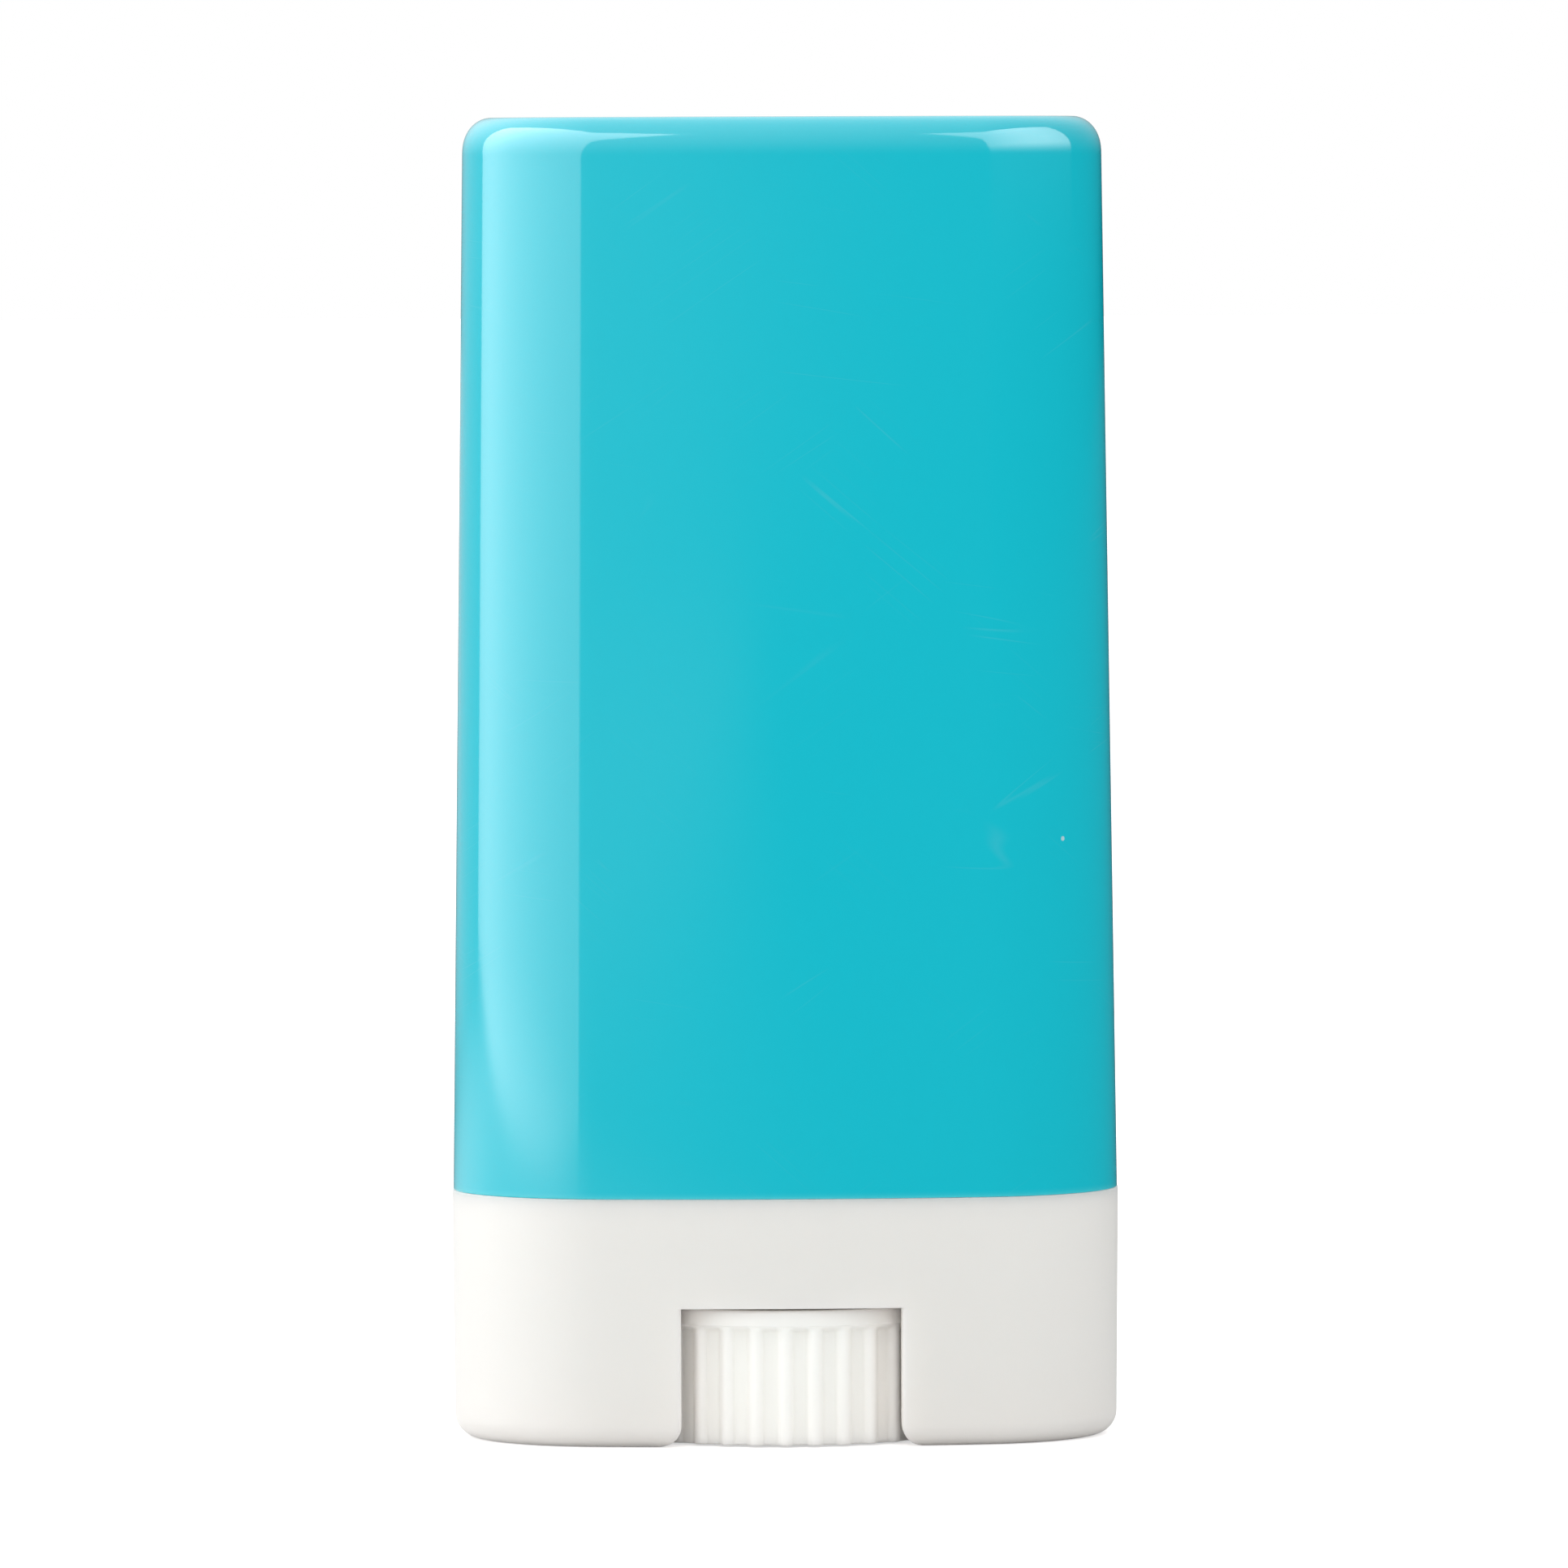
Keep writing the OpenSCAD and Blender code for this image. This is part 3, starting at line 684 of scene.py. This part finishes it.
def table_white():
    """White paper. The camera sees some light of its own in it, so that it reaches the backdrop's
    white and still keeps the object's shadow. Its mirror image is painted: painted shade darkens it towards
    the camera, a painted glow brightens it to the left where the softbox stands on it, and a fainter
    painted glow lies farther off to the left."""
    material = bpy.data.materials.new("table_white")
    material.use_nodes = True
    tree = material.node_tree
    nodes, links = tree.nodes, tree.links
    shader = nodes["Principled BSDF"]
    shader.inputs["Roughness"].default_value = 0.9
    shader.inputs["Specular IOR Level"].default_value = 0.0
    shader.inputs["Emission Color"].default_value = (1, 1, 1, 1)
    path = nodes.new("ShaderNodeLightPath")
    # Painted shade: for mirrored rays the paper's colour drops from 0.8 to 0.06, so its mirror image is
    # dark.
    paper = nodes.new("ShaderNodeMix")
    paper.data_type = "RGBA"
    paper.inputs["A"].default_value = (0.8, 0.8, 0.8, 1)
    paper.inputs["B"].default_value = (0.06, 0.06, 0.06, 1)
    links.new(path.outputs["Is Glossy Ray"], paper.inputs["Factor"])
    links.new(paper.outputs["Result"], shader.inputs["Base Color"])
    place = nodes.new("ShaderNodeTexCoord")
    apart = nodes.new("ShaderNodeVectorMath")
    apart.operation = "DISTANCE"
    apart.inputs[1].default_value = (-0.3, -0.06, 0)
    links.new(place.outputs["Object"], apart.inputs[0])
    # Painted light: the floor glows in mirrored rays only, brightest where the softbox stands and fainter
    # farther off to the left.
    painted_light_patch = maths(tree, "MULTIPLY", between(tree, apart.outputs["Value"], 0.4, 0.15), 1.4)
    split = nodes.new("ShaderNodeSeparateXYZ")
    links.new(place.outputs["Object"], split.inputs["Vector"])
    painted_far_glow = maths(tree, "MULTIPLY", between(tree, split.outputs["X"], 0.1, -0.35), 0.55)
    mirrored = maths(tree, "MULTIPLY", path.outputs["Is Glossy Ray"], maths(tree, "ADD", painted_light_patch, painted_far_glow))
    lifted = maths(tree, "MULTIPLY_ADD", path.outputs["Is Camera Ray"], 0.55, mirrored)
    links.new(lifted, shader.inputs["Emission Strength"])
    return material


floor_mesh.materials.append(table_white())


def studio_air(around, behind, above, side, ceiling):
    """The world. It lights the object by around from its sides, by behind more from its back, by
    as much less from its front, and by above more from overhead. Its mirror image is side strong
    to the left, fades out to the right, and is about ceiling stronger overhead."""
    world = bpy.data.worlds.new("studio")
    bpy.context.scene.world = world
    world.use_nodes = True
    tree = world.node_tree
    nodes, links = tree.nodes, tree.links
    nodes["Background"].inputs["Color"].default_value = (1, 1, 1, 1)
    towards = nodes.new("ShaderNodeTexCoord")
    split = nodes.new("ShaderNodeSeparateXYZ")
    links.new(towards.outputs["Generated"], split.inputs["Vector"])
    low = maths(tree, "MULTIPLY", between(tree, split.outputs["X"], 0.3, -0.6), side)
    height = maths(tree, "POWER", maths(tree, "MAXIMUM", split.outputs["Z"], 0.0), 0.8)
    leftwards = maths(tree, "MULTIPLY_ADD", split.outputs["X"], -0.6, 1.0)
    high = maths(tree, "MULTIPLY", maths(tree, "MULTIPLY", height, leftwards), ceiling)
    mirror = maths(tree, "ADD", low, high)
    path = nodes.new("ShaderNodeLightPath")
    level = nodes.new("ShaderNodeMix")
    spread = maths(tree, "MULTIPLY_ADD", split.outputs["Y"], behind, around)
    spread = maths(tree, "MULTIPLY_ADD", split.outputs["Z"], above, spread)
    links.new(spread, level.inputs["A"])
    links.new(mirror, level.inputs["B"])
    links.new(path.outputs["Is Glossy Ray"], level.inputs["Factor"])
    seen = nodes.new("ShaderNodeMix")
    seen.inputs["B"].default_value = 1.0
    links.new(path.outputs["Is Camera Ray"], seen.inputs["Factor"])
    links.new(level.outputs["Result"], seen.inputs["A"])
    links.new(seen.outputs["Result"], nodes["Background"].inputs["Strength"])


studio_air(around=0.66, behind=0.4, above=0.37, side=0.6, ceiling=2.25)


def softbox(name, facing, distance, rear, front, foot, length, edge, hot,
            lean=0, roll=0, hot_at=0.5, up=0, fade=0, lit=False):
    """A rectangular lamp whose plane stands at a distance from the object, on the bearing facing
    from the front, leans over it, and is rolled towards the front at its top. It reaches rear
    and front to its two sides, and up from foot by length. Its radiance falls from hot, at
    hot_at across it, to edge, grows by up to its top, and comes in over the share fade at its
    foot. A lit one lights the object and isn't mirrored in it, and the others are only
    mirrored."""
    data = bpy.data.lights.new(name, "AREA")
    data.shape = "RECTANGLE"
    data.size = rear + front
    data.size_y = length
    data.energy = math.pi * data.size * data.size_y
    lamp = bpy.data.objects.new(name, data)
    bpy.context.collection.objects.link(lamp)
    a, tip = math.radians(facing), math.radians(lean)
    out = Vector((math.sin(a), -math.cos(a), 0))
    across = Vector((out.y, -out.x, 0)) * math.copysign(1, facing)
    upright = Vector((0, 0, 1)) * math.cos(tip) - out * math.sin(tip)
    middle = out * distance + across * (front - rear) / 2 + Vector((0, 0, foot)) + upright * length / 2
    back = out * math.cos(tip) + Vector((0, 0, 1)) * math.sin(tip)
    sideways = upright.cross(back)
    turn = Matrix((sideways, upright, back)).transposed()
    turn = turn @ Matrix.Rotation(math.radians(roll) * math.copysign(1, facing), 3, "Z")
    lamp.matrix_world = Matrix.Translation(middle) @ turn.to_4x4()
    lamp.visible_glossy = not lit
    lamp.visible_diffuse = lit
    lamp.visible_camera = False
    data.use_nodes = True
    tree = data.node_tree
    where = tree.nodes.new("ShaderNodeNewGeometry")
    split = tree.nodes.new("ShaderNodeSeparateXYZ")
    tree.links.new(where.outputs["Parametric"], split.inputs["Vector"])
    off = maths(tree, "ABSOLUTE", maths(tree, "SUBTRACT", split.outputs["X"], hot_at))
    cold = between(tree, off, 0, 0.65)
    glow = maths(tree, "MULTIPLY_ADD", cold, edge - hot, hot)
    glow = maths(tree, "MULTIPLY_ADD", split.outputs["Y"], up, glow)
    if fade:
        glow = maths(tree, "MULTIPLY", between(tree, split.outputs["Y"], 0, fade), glow)
    tree.links.new(glow, tree.nodes["Emission"].inputs["Strength"])
    return lamp


softbox("left_softbox", facing=-57, distance=0.35, rear=0.55, front=0.215, foot=-0.1, length=0.62,
        lean=12, roll=8, edge=0.3, hot=2.9, hot_at=0.37, up=5.0)
softbox("left_key", facing=-105, distance=0.4, rear=0.5, front=0.3, foot=0.01, length=0.78,
        lean=12, edge=0.65, hot=0.65, lit=True)
softbox("front_fill", facing=-8, distance=0.7, rear=0.45, front=0.45, foot=0.03, length=0.6,
        edge=0.96, hot=0.96, lit=True)
softbox("right_softbox", facing=62, distance=0.35, rear=0.28, front=0.25, foot=0.063, length=0.412,
        lean=12, edge=2.8, hot=6.3, fade=0.3)

# Light that soaks through the base's thin wall reaches the dial from both sides: two lamps shine
# on the dial alone, and only the dial shades it.
soaked_left = softbox("soaked_left", facing=-62, distance=0.25, rear=0.5, front=0.5, foot=0.0,
                      length=0.4, edge=0.44, hot=0.44, lit=True)
soaked_right = softbox("soaked_right", facing=50, distance=0.25, rear=0.5, front=0.5, foot=0.0,
                       length=0.4, edge=0.28, hot=0.28, lit=True)
dial_alone = bpy.data.collections.new("dial_alone")
dial_alone.objects.link(dial)
for soaked in (soaked_left, soaked_right):
    soaked.light_linking.receiver_collection = dial_alone
    soaked.light_linking.blocker_collection = dial_alone

# Camera: a long lens a little to the left of the front and level with the cap's top.
CAMERA_TURN = math.radians(-2.0)
CAMERA_AWAY = 740 * MM
CAMERA_UP = 66.5 * MM
AIM_UP = 34.5 * MM
CAMERA_ROLL = math.radians(-0.2)
camera_data = bpy.data.cameras.new("camera")
camera_data.lens = 321
camera_data.sensor_width = 36
camera = bpy.data.objects.new("camera", camera_data)
bpy.context.collection.objects.link(camera)
camera.location = (math.sin(CAMERA_TURN) * CAMERA_AWAY, -math.cos(CAMERA_TURN) * CAMERA_AWAY, CAMERA_UP)
look = (Vector((0, 0, AIM_UP)) - camera.location).to_track_quat("-Z", "Y")
camera.rotation_euler = look.to_euler()
camera.rotation_euler.rotate_axis("Z", CAMERA_ROLL)
bpy.context.scene.camera = camera
bpy.context.scene.view_settings.view_transform = "Standard"
